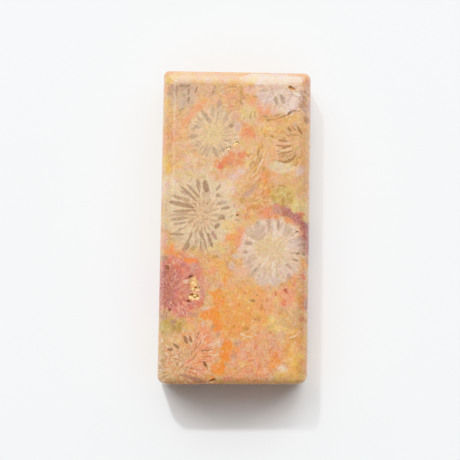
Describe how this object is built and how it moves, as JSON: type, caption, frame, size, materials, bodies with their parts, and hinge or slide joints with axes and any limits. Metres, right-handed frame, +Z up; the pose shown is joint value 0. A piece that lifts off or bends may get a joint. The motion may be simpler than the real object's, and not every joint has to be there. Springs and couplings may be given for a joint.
{
  "type": "fossil coral slice",
  "caption": "Polished oblong block of agatised fossil coral with ground edges and a flat underside to lie on, showing star-shaped corallites in orange, cream and rose stone.",
  "frame": {"origin": "centre of the flat underside", "axes": "+Z up out of the polished face, +Y along the block towards its head end, +X to the right seen from above"},
  "size_m": [0.0334, 0.071, 0.014],
  "materials": {
    "agatised_coral": "polished, slightly translucent, with dark petals round cream centres in granular orange stone"
  },
  "bodies": {
    "root": {"coral_slice": "agatised_coral"}
  },
  "joints": []
}
